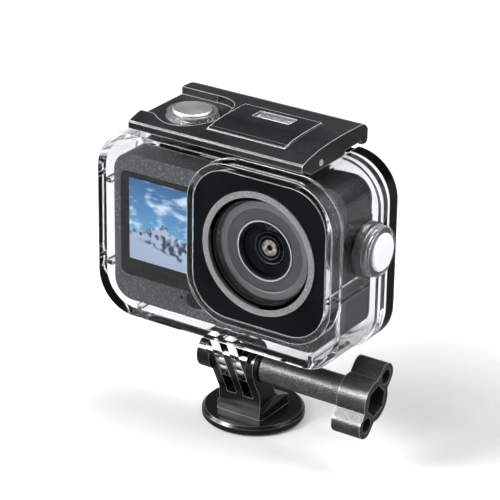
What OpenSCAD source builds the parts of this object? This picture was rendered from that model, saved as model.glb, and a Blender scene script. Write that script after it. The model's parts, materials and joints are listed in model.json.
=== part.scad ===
// Action camera in a clear dive case on a tripod pivot mount.
// Frame: +X to the viewer's right, -Y to the front (the lens side), +Z up.
// The origin is the centre of the mount disc's underside, on the tripod socket's axis.

/* [Mount base] */
// Diameter of the round foot
disc_d = 30.2; // [27:0.1:34]
// Thickness of the round foot
disc_t = 2.8; // [2.4:0.1:4]
// Height of the pivot axis above the table
pivot_z = 21.8; // [21.4:0.1:30]
// Distance of the pivot axis in front of the foot's centre
pivot_y = 9.4; // [6:0.1:11]
// Radius of the rounded finger ends
hub_r = 6.3; // [5.5:0.1:7]
// Thickness of each outer finger of the base
outer_finger_t = 2.6; // [2.2:0.1:3.2]
// Thickness of the middle finger of the base
middle_finger_t = 2.4; // [2.2:0.1:3]
// Gap between two fingers of the base
finger_gap = 3.3; // [3:0.1:3.6]
// Side clearance of a case finger in its gap
finger_clear = 0.1; // [0.05:0.01:0.2]
// Half-width of the block under the fingers
block_half_w = 8.0; // [7.4:0.1:10]
// Depth of the tripod socket
socket_depth = 6.0; // [5:0.1:7]

/* [Clamp screw] */
// Diameter of the threaded rod
rod_d = 5.0; // [4:0.1:6]
// Radial clearance of the rod in the finger bores
rod_clear = 0.08; // [0.02:0.01:0.1]
// Outer diameter of the sleeve
sleeve_d = 8.8; // [7.6:0.1:10]
// Outer diameter of the washer beside the fingers
washer_d = 9.2; // [8.8:0.1:11]
// Thickness of the washer
washer_t = 1.2; // [0.8:0.1:1.6]
// Distance from the case centre to the knob's inner face
knob_x = 37.5; // [34:0.1:42]
// Length of the knob
knob_len = 9.2; // [8.4:0.1:13]
// Distance from the axis to the tip of a knob wing
knob_tip_r = 11.4; // [10:0.1:12]
// Width across flats of the hexagon socket and the nut
hex_af = 8.0; // [7.4:0.1:8.4]
// Angle of the wings above the horizontal, seen from the knob's end
wing_angle = 48; // [0:1:90]

/* [Case] */
// Width of the clear shell
shell_w = 81.2; // [78:0.1:90]
// Height of the underside of the clear shell above the table
shell_z0 = 31.4; // [31.0:0.1:36]
// Height of the clear shell
shell_h = 55.9; // [54.6:0.1:64]
// Corner radius of the shell seen from the front
shell_r = 12.0; // [10:0.1:14]
// Distance of the shell's front wall from the foot's centre
shell_front = 20.2; // [19.8:0.1:22]
// Thickness of the clear walls
wall_t = 2.0; // [1.6:0.1:2.4]
// How far the rear flange stands out past the shell
flange_out = 0.9; // [0.6:0.1:1.2]
// Thickness of the rear flange
flange_t = 3.6; // [3:0.1:4.4]
// Thickness of the rear door
door_t = 4.7; // [4.5:0.1:6]
// Squeezed thickness of the door seal
seal_t = 0.6; // [0.4:0.1:0.9]

/* [Lens port] */
// Centre of the port to the right of the case centre
port_x = 16.7; // [15:0.1:17.5]
// Height of the port's centre above the shell's underside
port_h = 32.9; // [32:0.1:34]
// Width of the port block
port_w = 47.0; // [45:0.1:47]
// Height of the port block
port_hgt = 47.8; // [46:0.1:48]
// Corner radius of the port block
port_r = 13.4; // [12:0.1:15]
// How far the port stands in front of the shell
port_out = 4.5; // [3:0.1:6]
// Width of the clear rim around the black panel
port_rim = 2.1; // [1.6:0.1:2.6]
// Diameter of the clear ring around the window
ring_d = 36.4; // [34:0.1:38]
// Diameter of the round window
window_d = 32.6; // [31:0.1:33.4]

/* [Top cover] */
// Left end of the cover
cover_x0 = -29.2; // [-30:0.1:-28]
// Right end of the cover
cover_x1 = 28.0; // [27:0.1:29]
// Thickness of the cover's end cheeks
cheek_t = 2.0; // [1.6:0.1:2.6]
// Diameter of the two short pins that hold the cover to the shell
cover_pin_d = 1.8; // [1.4:0.1:2]
// Left edge of the release flap
flap_x0 = -6.2; // [-6.4:0.1:-5]
// Width of the release flap
flap_w = 25.2; // [22:0.1:26]
// Gap around the flap
flap_gap = 0.15; // [0.1:0.05:0.3]
// Diameter of the flap's hinge pin
flap_pin_d = 1.2; // [1:0.1:1.4]
// Width of the catch that shows in the flap's window
catch_w = 10.9; // [8:0.1:12]

/* [Buttons] */
// Shutter axis to the left of the case centre
shutter_x = 17.0; // [16:0.1:18]
// Shutter axis in front of the foot's centre
shutter_y = 7.3; // [6.8:0.1:7.8]
// Outer diameter of the shutter's clear collar
shutter_collar_d = 14.4; // [13.6:0.1:15]
// Diameter of the shutter cap
shutter_cap_d = 11.4; // [10:0.1:11.6]
// Side button axis in front of the foot's centre
side_y = 7.2; // [6.6:0.1:8]
// Side button axis above the shell's underside
side_h = 34.6; // [34:0.1:36]
// Outer diameter of the side button's collar
side_collar_d = 15.6; // [14.4:0.1:16.4]
// Diameter of the side button's cap
side_cap_d = 10.8; // [9.6:0.1:11]
// Diameter of both plunger rods
plunger_d = 3.0; // [2.4:0.1:3.2]
// Travel of each button
press_travel = 1.2; // [0.8:0.1:1.4]

/* [Camera] */
// Width of the camera
cam_w = 70.5; // [69:0.1:71]
// Height of the camera
cam_h = 45.2; // [44:0.1:45.6]
// Depth of the camera's body without the lens
cam_d = 22.0; // [20.8:0.1:22.4]
// Left face of the camera from the case centre
cam_left = 36.5; // [36:0.1:36.8]
// Height of the camera above the shell's underside
cam_lift = 3.8; // [3.4:0.1:4.2]
// Gap between the shell's front wall and the camera
cam_front_gap = 1.0; // [0.6:0.1:1.4]
// Corner radius of the camera
cam_r = 6.0; // [4:0.1:8]
// Wall thickness of the camera's casings
cam_wall = 1.6; // [1.2:0.1:2]
// Diameter of the grey lens ring
lens_ring_d = 29.2; // [27:0.1:29.4]
// Diameter of the silver trim around the glass
lens_trim_d = 17.8; // [16:0.1:19]

/* [Hidden] */
$fn = 96;
eps = 0.01;

// Mount fingers, from left to right: outer, gap, middle, gap, outer
stack_half = middle_finger_t / 2 + finger_gap + outer_finger_t;
gap_mid_x = middle_finger_t / 2 + finger_gap / 2;
case_finger_t = finger_gap - 2 * finger_clear;
bore_d = rod_d + 2 * rod_clear;
ridge_front_z = disc_t + 2.1;
ridge_back_z = disc_t + 3.1;
ridge_front_y = -8.0;
ridge_back_y = 6.2;
foot_top_z = disc_t + 6.2;
nose_t = 1.6;
finger_foot_y = -pivot_y + 1.9;
boss_len = 3.3;
boss_d = 10.0;
nut_t = 2.6;
rod_x0 = -stack_half - boss_len - 0.6;
washer_x = stack_half + nose_t + 0.1;
socket_d = 6.35;

// Case planes along Y and Z
shell_y0 = -shell_front;
flange_y0 = -1.6;
flange_y1 = flange_y0 + flange_t;
door_y0 = flange_y1 + seal_t;
door_y1 = door_y0 + door_t;
shell_z1 = shell_z0 + shell_h;
shell_zc = shell_z0 + shell_h / 2;
flange_w = shell_w + 2 * flange_out;
flange_h = shell_h + 2 * flange_out;
cavity_w = shell_w - 2 * wall_t;
cavity_h = shell_h - 2 * wall_t;
cavity_r = shell_r - wall_t;
port_y0 = shell_y0 - port_out;
port_z = shell_z0 + port_h;
mask_w = port_w - 2 * port_rim;
mask_h = port_hgt - 2 * port_rim;
mask_r = port_r - port_rim;
mask_t = 0.8;
mask_y = port_y0 + 0.25;
ring_y0 = port_y0 - 0.1;

// Door hinge under the flange
hinge_y = flange_y1 + seal_t / 2;
hinge_z = shell_z0 - flange_out - 2.2;
hinge_pin_d = 1.6;
knuckle_d = 4.0;

// Cover heights, all above the shell's top
cover_y0 = shell_y0 - 0.8;
pin_y = -11.5;
pin_z = shell_z1 + 2.2;
pin_lug_r = 1.3;
pin_collar_gap = 0.857;
pin_len = -shutter_x - sqrt(pow(shutter_collar_d / 2 + 0.2, 2) - pow(pin_y + shutter_y, 2))
    - pin_collar_gap - (cover_x0 - 0.15);
flap_axis_y = -14.6;
flap_axis_z = shell_z1 + 4.7;
flap_x1 = flap_x0 + flap_w;
flap_mid = flap_x0 + flap_w / 2;
flap_y1 = 3.0;
flap_barrel_r = 1.35;
recess_z = shell_z1 + 4.3;
tongue_z0 = shell_z1 + 0.35;
tongue_z1 = shell_z1 + 1.9;
catch_z = shell_z1 + 4.65;
catch_y0 = -3.1;
catch_t = 2.2;
slot_x0 = flap_mid - catch_w / 2 - 0.5;
slot_x1 = flap_mid + catch_w / 2 + 0.5;
slot_y0 = catch_y0 - 0.3;
slot_y1 = catch_y0 + catch_t + 1.8;

// Button heights
rod_gap = 0.1;
cam_y0 = shell_y0 + wall_t + cam_front_gap;
cam_y1 = cam_y0 + cam_d;
cam_x0 = -cam_left;
cam_x1 = cam_x0 + cam_w;
cam_z0 = shell_z0 + cam_lift;
cam_z1 = cam_z0 + cam_h;
cam_xc = (cam_x0 + cam_x1) / 2;
cam_zc = (cam_z0 + cam_z1) / 2;
record_top = cam_z1 + press_travel + 0.3;
shutter_floor = shell_z1 + 1.7;
shutter_collar_top = shell_z1 + 5.9;
shutter_cap_top = shell_z1 + 6.6;
cap_t = 1.5;
shell_x1 = shell_w / 2;
side_z = shell_z0 + side_h;
mode_face = cam_x1 + press_travel + 0.3;
side_floor = shell_x1 + 1.6;
side_collar_end = shell_x1 + 4.9;
side_cap_end = shell_x1 + 5.6;
seal_wire = 0.55;
seal_r = plunger_d / 2 + 0.05 + seal_wire;
lens_y0 = port_y0 + 3.0;
lens_z = cam_z1 - lens_ring_d / 2 - 1.4;
lens_x = port_x + 0.4;
split_y = cam_y0 + 9;

// ---- 2D helpers ----

// Rounded rectangle centred on the origin, made of true arcs
module round_rect(w, h, r) {
    square([w - 2 * r, h], center = true);
    square([w, h - 2 * r], center = true);
    for (sx = [-1, 1], sz = [-1, 1])
        translate([sx * (w / 2 - r), sz * (h / 2 - r)]) circle(r);
}

// Slab standing in the X-Z plane between two Y values
module slab(x, z, w, h, r, y0, y1) {
    translate([x, y1, z])
        rotate([90, 0, 0])
            linear_extrude(y1 - y0) round_rect(w, h, r);
}

// Extrudes a Y-Z outline along X between two X values
module along_x(x0, x1) {
    translate([x0, 0, 0])
        rotate([90, 0, 90])
            linear_extrude(x1 - x0) children();
}

// Cylinder along X, starting at x0
module x_cyl(x0, x1, y, z, d) {
    translate([x0, y, z]) rotate([0, 90, 0]) cylinder(h = x1 - x0, d = d);
}

// Cylinder along +Y, starting at y0
module y_cyl(x, z, y0, y1, d) {
    translate([x, y1, z]) rotate([90, 0, 0]) cylinder(h = y1 - y0, d = d);
}

// Box from one corner to the other
module box(lo, hi) {
    translate(lo) cube(hi - lo);
}

// Round wire coil standing on z = 0, as one swept tube
module coil(mean_r, wire_r, turns, len) {
    steps = 14;
    sides = 6;
    count = turns * steps;
    pts = [for (i = [0 : count], k = [0 : sides - 1])
        let (a = 360 * i / steps, b = 360 * k / sides,
             r = mean_r + wire_r * cos(b),
             z = wire_r + (len - 2 * wire_r) * i / count + wire_r * sin(b))
        [r * cos(a), r * sin(a), z]];
    walls = [for (i = [0 : count - 1], k = [0 : sides - 1])
        let (a = i * sides + k, b = i * sides + (k + 1) % sides)
        [a, b, b + sides, a + sides]];
    ends = [[for (k = [sides - 1 : -1 : 0]) k],
            [for (k = [0 : sides - 1]) count * sides + k]];
    polyhedron(points = pts, faces = concat(walls, ends), convexity = 4);
}

// O-ring around +Z, centred on z = 0
module o_ring(mean_r, wire_r) {
    rotate_extrude() translate([mean_r, 0]) circle(r = wire_r, $fn = 32);
}

// ---- Mount base ----

// Side outline of one base finger, in Y-Z: a round end cut back by a leaning front
module base_finger_outline() {
    intersection() {
        union() {
            translate([-pivot_y, pivot_z]) circle(hub_r);
            polygon([
                [-pivot_y - hub_r, pivot_z],
                [finger_foot_y, foot_top_z],
                [finger_foot_y, ridge_front_z - 0.5],
                [4.6, ridge_back_z],
                [0.6, foot_top_z - 0.8],
                [-pivot_y + hub_r * cos(25), pivot_z - hub_r * sin(25)]
            ]);
        }
        polygon([
            [finger_foot_y, ridge_front_z - 1],
            [finger_foot_y, foot_top_z + 0.8],
            [finger_foot_y - 7.7, foot_top_z + 16.5],
            [20, foot_top_z + 30],
            [20, ridge_front_z - 1]
        ]);
    }
}

// Low block whose ridge flares out from the fingers
module base_block() {
    hull() {
        for (side = [-1, 1])
            translate([side * (block_half_w - 0.05), 0, 0]) {
                box([-0.05, ridge_front_y + 0.8, disc_t - 0.5],
                    [0.05, ridge_front_y + 0.9, ridge_front_z + 0.1]);
                box([-0.05, ridge_back_y, disc_t - 0.5], [0.05, ridge_back_y + 0.1, ridge_back_z]);
            }
        box([-stack_half - 0.2, ridge_front_y, disc_t - 0.5],
            [stack_half + 0.2, ridge_front_y + 0.1, ridge_front_z]);
        box([-stack_half, finger_foot_y, ridge_front_z],
            [stack_half, finger_foot_y + 0.1, ridge_front_z + 1.2]);
        box([-stack_half, 0, ridge_front_z], [stack_half, 0.6, ridge_back_z + 1.6]);
    }
}

module mount_base() {
    finger_x = middle_finger_t / 2 + finger_gap;
    color([0.10, 0.10, 0.11])
    difference() {
        union() {
            cylinder(h = 0.5, d1 = disc_d - 1, d2 = disc_d);
            translate([0, 0, 0.5]) cylinder(h = disc_t - 1.3, d = disc_d);
            translate([0, 0, disc_t - 0.8])
                cylinder(h = 0.8, d1 = disc_d, d2 = disc_d - 1.6);
            base_block();
            along_x(finger_x, stack_half) base_finger_outline();
            along_x(-stack_half, -finger_x) base_finger_outline();
            along_x(-middle_finger_t / 2, middle_finger_t / 2) base_finger_outline();
            // Solid foot under and behind the slots
            along_x(-stack_half, stack_half)
                polygon([[finger_foot_y, ridge_front_z - 0.5], [finger_foot_y, foot_top_z],
                    [-5.0, foot_top_z - 0.2], [0.6, foot_top_z - 0.8], [4.6, ridge_back_z]]);
            x_cyl(-stack_half - boss_len, -stack_half + 1, -pivot_y, pivot_z, boss_d);
            x_cyl(stack_half - 1, stack_half + nose_t, -pivot_y, pivot_z, boss_d - 0.4);
        }
        x_cyl(-stack_half - boss_len - 1, stack_half + nose_t + 1, -pivot_y, pivot_z, bore_d);
        // The two slots stay open in front and above
        for (side = [-1, 1])
            box([side * gap_mid_x - finger_gap / 2, -pivot_y - hub_r - 2, foot_top_z],
                [side * gap_mid_x + finger_gap / 2, 12, pivot_z + hub_r + 2]);
        // Hexagon pocket for the nut
        translate([-stack_half - boss_len - 1, -pivot_y, pivot_z])
            rotate([0, 90, 0])
                cylinder(h = nut_t + 1.1, d = hex_af / cos(30) + 0.1, $fn = 6);
        translate([0, 0, -1]) cylinder(h = socket_depth + 1, d = socket_d + 2.4);
    }
}

module tripod_insert() {
    color([0.78, 0.62, 0.30])
    difference() {
        cylinder(h = socket_depth, d = socket_d + 2.4);
        translate([0, 0, -1]) cylinder(h = socket_depth + 0.2, d = socket_d);
    }
}

module lock_nut() {
    color([0.72, 0.73, 0.75])
    difference() {
        translate([-stack_half - boss_len + 0.1, -pivot_y, pivot_z])
            rotate([0, 90, 0]) cylinder(h = nut_t, d = hex_af / cos(30), $fn = 6);
        x_cyl(-stack_half - boss_len - 1, -stack_half, -pivot_y, pivot_z, bore_d);
    }
}

// ---- Clamp screw ----

module clamp_rod() {
    color([0.62, 0.63, 0.65])
        x_cyl(rod_x0, knob_x + 3, -pivot_y, pivot_z, rod_d);
}

module clamp_washer() {
    color([0.05, 0.05, 0.06])
    difference() {
        x_cyl(washer_x, washer_x + washer_t, -pivot_y, pivot_z, washer_d);
        x_cyl(washer_x - 1, washer_x + 1 + washer_t, -pivot_y, pivot_z, rod_d);
    }
}

module clamp_sleeve() {
    x0 = washer_x + washer_t;
    color([0.16, 0.16, 0.17])
    difference() {
        union() {
            translate([x0, -pivot_y, pivot_z]) rotate([0, 90, 0])
                cylinder(h = 0.6, d1 = sleeve_d - 1.2, d2 = sleeve_d);
            x_cyl(x0 + 0.6, knob_x, -pivot_y, pivot_z, sleeve_d);
        }
        x_cyl(x0 - 1, knob_x + 1, -pivot_y, pivot_z, rod_d);
    }
}

module clamp_knob() {
    wing_r = 3.4;
    color([0.13, 0.13, 0.14])
    translate([knob_x, -pivot_y, pivot_z])
        rotate([90, 0, 90])
            difference() {
                union() {
                    cylinder(h = knob_len, r = 6.2);
                    for (s = [0, 180])
                        rotate(wing_angle + s) {
                            translate([knob_tip_r - wing_r, 0, 0])
                                cylinder(h = knob_len, r = wing_r);
                            translate([0, -wing_r, 0])
                                cube([knob_tip_r - wing_r, 2 * wing_r, knob_len]);
                        }
                }
                translate([0, 0, -1]) cylinder(h = 4, d = rod_d);
                // Hexagon socket in the outer face
                translate([0, 0, 4])
                    rotate(17) cylinder(h = knob_len, d = 9.2, $fn = 6);
                // Pockets that lighten the wings
                for (s = [0, 180])
                    rotate(wing_angle + s)
                        translate([knob_tip_r - wing_r - 0.6, 0, 2.5])
                            cylinder(h = knob_len, r = 2.2);
            }
}

// ---- Clear case ----

// Finger of the case between two base fingers, with a leaning front
module case_finger(x_mid) {
    along_x(x_mid - case_finger_t / 2, x_mid + case_finger_t / 2)
        difference() {
            intersection() {
                union() {
                    translate([-pivot_y, pivot_z]) circle(hub_r);
                    polygon([
                        [-pivot_y - hub_r, pivot_z],
                        [-pivot_y - hub_r - 1.2, shell_z0 + 0.5],
                        [-pivot_y + hub_r + 3.2, shell_z0 + 0.5],
                        [-pivot_y + hub_r, pivot_z]
                    ]);
                }
                polygon([
                    [-pivot_y - 0.6, pivot_z - 7],
                    [-pivot_y - 7.0, pivot_z + 7.2],
                    [-pivot_y - 7.0, pivot_z + 12],
                    [20, pivot_z + 12],
                    [20, pivot_z - 7]
                ]);
            }
            translate([-pivot_y, pivot_z]) circle(d = bore_d);
        }
}

// Shell lug that the cover's pin runs through
module pin_lug(x0, x1) {
    along_x(x0, x1)
        difference() {
            union() {
                translate([pin_y, pin_z]) circle(pin_lug_r);
                translate([pin_y - pin_lug_r, shell_z1 - 0.5])
                    square([2 * pin_lug_r, pin_z - shell_z1 + 0.5]);
            }
            translate([pin_y, pin_z]) circle(d = cover_pin_d);
        }
}

// Flange outline that is lowered where the cover passes over it
module flange_slab(y0, y1) {
    difference() {
        slab(0, shell_zc, flange_w, flange_h, shell_r + flange_out, y0, y1);
        box([cover_x0 - 0.4, y0 - 1, shell_z1], [cover_x1 + 0.4, y1 + 1, shell_z1 + 3]);
    }
}

module front_shell() {
    color([0.85, 0.90, 0.92, 0.35])
    difference() {
        union() {
            slab(0, shell_zc, shell_w, shell_h, shell_r, shell_y0, flange_y1);
            flange_slab(flange_y0, flange_y1);
            slab(port_x, port_z, port_w, port_hgt, port_r, port_y0, shell_y0 + 1);
            case_finger(-gap_mid_x);
            case_finger(gap_mid_x);
            pin_lug(cover_x0 + cheek_t + 0.2, cover_x0 - 0.8 + pin_len);
            pin_lug(cover_x1 + 0.8 - pin_len, cover_x1 - cheek_t - 0.2);
            // Hinge knuckles for the door
            for (x0 = [-22, 14])
                door_knuckle(x0, x0 + 8);
        }
        slab(0, shell_zc, cavity_w, cavity_h, cavity_r, shell_y0 + wall_t, flange_y1 + 1);
        slab(port_x, port_z, mask_w - 1.6, mask_h - 1.6, mask_r - 0.8,
            port_y0 + 1.6, shell_y0 + wall_t + 1);
        // Seat of the black panel and the window opening
        slab(port_x, port_z, mask_w, mask_h, mask_r, port_y0 - 1, mask_y + mask_t);
        y_cyl(port_x, port_z, port_y0 - 1, port_y0 + 4, window_d - 2);
        y_cyl(port_x, port_z, port_y0 - 1, port_y0 + 1.4, ring_d);
        translate([-shutter_x, -shutter_y, shell_z1 - wall_t - 1])
            cylinder(h = wall_t + 2, d = plunger_d + 2);
        x_cyl(shell_x1 - wall_t - 1, shell_x1 + 1, -side_y, side_z, plunger_d + 2);
        x_cyl(shell_x1, shell_x1 + 3, -side_y, side_z, side_collar_d + 0.1);
        for (x0 = [-22, 14])
            x_cyl(x0 - 1, x0 + 9, hinge_y, hinge_z, hinge_pin_d);
        // Room for the door's own knuckle
        box([-12.1, hinge_y - knuckle_d / 2 - 0.2, hinge_z - 3],
            [12.1, flange_y1 + 1, hinge_z + knuckle_d / 2 + 0.15]);
    }
    color([0.85, 0.90, 0.92, 0.35]) case_ribs();
}

// Ribs that centre the camera in the shell
module case_ribs() {
    side_gap_l = cam_x0 - (-cavity_w / 2) - 0.25;
    side_gap_r = cavity_w / 2 - cam_x1 - 0.25;
    floor_z = shell_z0 + wall_t;
    for (z = [shell_z0 + 13.5, shell_z0 + 39])
        box([-cavity_w / 2 - 0.3, shell_y0 + wall_t, z],
            [-cavity_w / 2 + side_gap_l, shell_y0 + wall_t + 14, z + 1.4]);
    box([cavity_w / 2 - side_gap_r, shell_y0 + wall_t, shell_z0 + 21.6],
        [cavity_w / 2 + 0.3, shell_y0 + wall_t + 15, shell_z0 + 23]);
    for (x = [-28, 30])
        box([x, shell_y0 + wall_t, floor_z - 0.3],
            [x + 1.4, shell_y0 + wall_t + 14, cam_z0 - 0.25]);
}

// Hinge knuckle with a web up to the flange, solid
module door_knuckle(x0, x1) {
    along_x(x0, x1)
        union() {
            translate([hinge_y, hinge_z]) circle(d = knuckle_d);
            translate([hinge_y - knuckle_d / 2, hinge_z])
                square([flange_y1 - hinge_y + knuckle_d / 2, shell_z0 - hinge_z + 0.5]);
        }
}

module port_mask() {
    color([0.03, 0.03, 0.035])
    difference() {
        slab(port_x, port_z, mask_w - 0.1, mask_h - 0.1, mask_r, mask_y, mask_y + mask_t);
        y_cyl(port_x, port_z, port_y0 - 1, port_y0 + 4, ring_d + 0.1);
    }
}

module port_ring() {
    color([0.80, 0.84, 0.86, 0.5])
    difference() {
        y_cyl(port_x, port_z, ring_y0, port_y0 + 1.4, ring_d - 0.1);
        y_cyl(port_x, port_z, ring_y0 - 1, port_y0 + 2, window_d);
    }
}

module port_window() {
    color([0.80, 0.86, 0.90, 0.25])
        y_cyl(port_x, port_z, port_y0 + 1.4 - 1.2, port_y0 + 1.4, window_d - 0.1);
}

module port_seal() {
    color([0.04, 0.04, 0.05])
    difference() {
        y_cyl(port_x, port_z, port_y0 + 1.65, port_y0 + 2.6, window_d + 2);
        y_cyl(port_x, port_z, port_y0, port_y0 + 4, window_d - 2);
    }
}

// ---- Top cover ----

// Outer line of the cover's cross-section, in Y-Z
cover_top_line = [
    [cover_y0, 2.2], [cover_y0, 4.0], [cover_y0 + 0.5, 4.5], [-16.6, 5.5], [-12.2, 6.2],
    [-7.0, 6.6], [-1.0, 6.7], [9.4, 6.5], [11.6, 5.8], [12.8, 4.3], [12.8, 1.1], [12.1, 0.3]];

module cover_outline(inner) {
    polygon(concat([for (p = cover_top_line) [p[0], shell_z1 + p[1]]],
        [for (p = inner) [p[0], shell_z1 + p[1]]]));
}

// Recess round the shutter button
module recess_outline() {
    translate([-shutter_x, -shutter_y]) circle(10.7);
    translate([-shutter_x + 1.4, -shutter_y + 4.1]) circle(8.2);
    translate([cover_x0 - 1, -15.0]) square([-shutter_x - cover_x0 + 1, 20]);
}

module top_cover() {
    catch_x0 = flap_mid - catch_w / 2 - 1.0;
    catch_x1 = flap_mid + catch_w / 2 + 1.0;
    color([0.09, 0.09, 0.10])
    difference() {
        union() {
            along_x(cover_x0, cover_x1)
                cover_outline([[10.2, 0.3], [9.4, 1.6], [9.4, 4.3], [-15.0, 3.9], [-18.4, 2.7],
                    [-19.0, 2.2]]);
            for (x0 = [cover_x0, cover_x1 - cheek_t])
                along_x(x0, x0 + cheek_t)
                    cover_outline([[10.2, 0.3], [9.2, 1.6], [1.2, 1.6], [0.2, 0.3], [-16.5, 0.3],
                        [-19.6, 2.2]]);
            // Floor of the recess round the shutter
            translate([0, 0, recess_z - 0.7])
                linear_extrude(0.7)
                    intersection() {
                        offset(delta = 1.5) recess_outline();
                        translate([cover_x0, -17]) square([40, 24]);
                    }
        }
        translate([0, 0, recess_z]) linear_extrude(6) recess_outline();
        translate([-shutter_x, -shutter_y, shell_z1])
            cylinder(h = 8, d = shutter_collar_d + 0.4);
        // Opening under the flap, with room for its barrel
        box([flap_x0 - flap_gap, flap_axis_y, shell_z1],
            [flap_x1 + flap_gap, flap_y1 + flap_gap, shell_z1 + 9]);
        x_cyl(flap_x0 - flap_gap, flap_x1 + flap_gap, flap_axis_y, flap_axis_z,
            2 * (flap_barrel_r + 0.1));
        box([flap_x0 - flap_gap, flap_axis_y - flap_barrel_r - 0.1, flap_axis_z],
            [flap_x1 + flap_gap, flap_axis_y, shell_z1 + 9]);
        // Channel that the door's catch swings out through
        box([catch_x0, -5, shell_z1], [catch_x1, 14, shell_z1 + 5.1]);
        x_cyl(cover_x0 - 1, cover_x1 + 1, pin_y, pin_z, cover_pin_d);
        x_cyl(flap_x0 - 2, flap_x1 + 2, flap_axis_y, flap_axis_z, flap_pin_d);
    }
}

module cover_pins() {
    color([0.80, 0.81, 0.83]) {
        x_cyl(cover_x0 - 0.15, cover_x0 - 0.15 + pin_len, pin_y, pin_z, cover_pin_d);
        x_cyl(cover_x1 + 0.2 - pin_len, cover_x1 + 0.2, pin_y, pin_z, cover_pin_d);
    }
}

module flap_pin() {
    color([0.75, 0.76, 0.78])
        x_cyl(flap_x0 - 2, flap_x1 + 2, flap_axis_y, flap_axis_z, flap_pin_d);
}

module release_flap() {
    color([0.11, 0.11, 0.12])
    difference() {
        along_x(flap_x0, flap_x1)
            union() {
                translate([flap_axis_y, flap_axis_z]) circle(flap_barrel_r);
                translate([0, shell_z1])
                    polygon([[flap_axis_y, 4.1], [flap_axis_y - 0.2, 5.9], [-13.6, 6.15],
                        [-12.2, 6.55], [-7.0, 6.95], [-1.0, 7.05], [flap_y1, 7.05], [flap_y1, 4.9],
                        [-12.8, 4.5]]);
            }
        box([slot_x0, slot_y0, shell_z1], [slot_x1, slot_y1, shell_z1 + 9]);
        x_cyl(flap_x0 - 1, flap_x1 + 1, flap_axis_y, flap_axis_z, flap_pin_d + 0.12);
    }
}

// Clear pane in the flap's slot, above the door's catch
module flap_window() {
    color([0.85, 0.90, 0.92, 0.35])
    difference() {
        box([slot_x0, slot_y0, shell_z1 + 5.1], [slot_x1, slot_y1, shell_z1 + 6.8]);
        box([slot_x0 + 1.2, slot_y0 + 1, shell_z1 + 5], [slot_x1 - 1.2, slot_y1 - 1, shell_z1 + 5.9]);
    }
}

// ---- Rear door ----

module rear_door() {
    catch_x0 = flap_mid - catch_w / 2;
    color([0.85, 0.90, 0.92, 0.35])
    difference() {
        union() {
            flange_slab(door_y0, door_y1);
            along_x(-12, 12)
                union() {
                    translate([hinge_y, hinge_z]) circle(d = knuckle_d);
                    translate([hinge_y, hinge_z - knuckle_d / 2])
                        square([door_y1 - hinge_y - 1, knuckle_d / 2 + shell_z0 - hinge_z]);
                }
            // Tongue over the flange and the catch that stands in the flap's window
            box([catch_x0, catch_y0, tongue_z0], [catch_x0 + catch_w, door_y0 + 1, tongue_z1]);
            box([catch_x0, door_y0, shell_z1 - 1], [catch_x0 + catch_w, door_y1 - 1, tongue_z1]);
            box([catch_x0, catch_y0, tongue_z0], [catch_x0 + catch_w, catch_y0 + catch_t, catch_z]);
        }
        slab(0, shell_zc, cavity_w, cavity_h, cavity_r, door_y0 - 1, door_y1 - 2.0);
        // Groove of the seal
        seal_ring(door_y0 - 1, door_y0 + 1.0, 0);
        // Room for the shell's knuckles and the pin
        for (x0 = [-22, 14])
            box([x0 - 0.2, hinge_y - 4, hinge_z - 3], [x0 + 8.2, door_y0 + 1.8, shell_z0 - 0.3]);
        box([-12.5, hinge_y - 4, hinge_z + knuckle_d / 2 - 0.3],
            [12.5, door_y0 - eps, shell_z0 + 1]);
        x_cyl(-13, 13, hinge_y, hinge_z, hinge_pin_d + 0.1);
    }
}

// Ring that follows the middle of the shell's wall
module seal_ring(y0, y1, trim) {
    difference() {
        slab(0, shell_zc, shell_w - 1.0 - trim, shell_h - 1.0 - trim, shell_r - 0.5, y0, y1);
        slab(0, shell_zc, cavity_w + 0.8 + trim, cavity_h + 0.8 + trim, cavity_r + 0.4,
            y0 - 1, y1 + 1);
    }
}

module door_seal() {
    color([0.03, 0.03, 0.03]) seal_ring(flange_y1 + 0.02, door_y0 + 1.0, 0.04);
}

module door_hinge_pin() {
    color([0.75, 0.76, 0.78])
        x_cyl(-22.2, 22.2, hinge_y, hinge_z, hinge_pin_d);
}

// ---- Shutter button ----

module shutter_collar() {
    color([0.85, 0.90, 0.92, 0.35])
    translate([-shutter_x, -shutter_y, 0])
    difference() {
        translate([0, 0, shell_z1])
            cylinder(h = shutter_collar_top - shell_z1, d = shutter_collar_d);
        translate([0, 0, shutter_floor])
            cylinder(h = 8, d = shutter_cap_d + 0.3);
        translate([0, 0, shell_z1 + 0.5])
            cylinder(h = 8, r = seal_r + seal_wire + 0.02);
        translate([0, 0, shell_z1 - 1]) cylinder(h = 8, d = plunger_d + 0.12);
    }
}

module shutter_cap() {
    color([0.78, 0.78, 0.79])
    translate([-shutter_x, -shutter_y, shutter_cap_top - cap_t]) {
        cylinder(h = cap_t - 0.4, d = shutter_cap_d);
        translate([0, 0, cap_t - 0.4])
            cylinder(h = 0.4, d1 = shutter_cap_d, d2 = shutter_cap_d - 0.8);
    }
}

module shutter_plunger() {
    color([0.20, 0.20, 0.21])
    translate([-shutter_x, -shutter_y, record_top + rod_gap])
        cylinder(h = shutter_cap_top - cap_t - record_top - rod_gap, d = plunger_d);
}

module shutter_seal() {
    color([0.05, 0.05, 0.05])
    translate([-shutter_x, -shutter_y, shell_z1 + 0.5 + seal_wire + 0.02])
        o_ring(seal_r, seal_wire);
}

module shutter_spring() {
    color([0.75, 0.76, 0.78])
    translate([-shutter_x, -shutter_y, shutter_floor + 0.02])
        coil(3.6, 0.3, 3, shutter_cap_top - cap_t - shutter_floor - 0.04);
}

// ---- Side button ----

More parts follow.
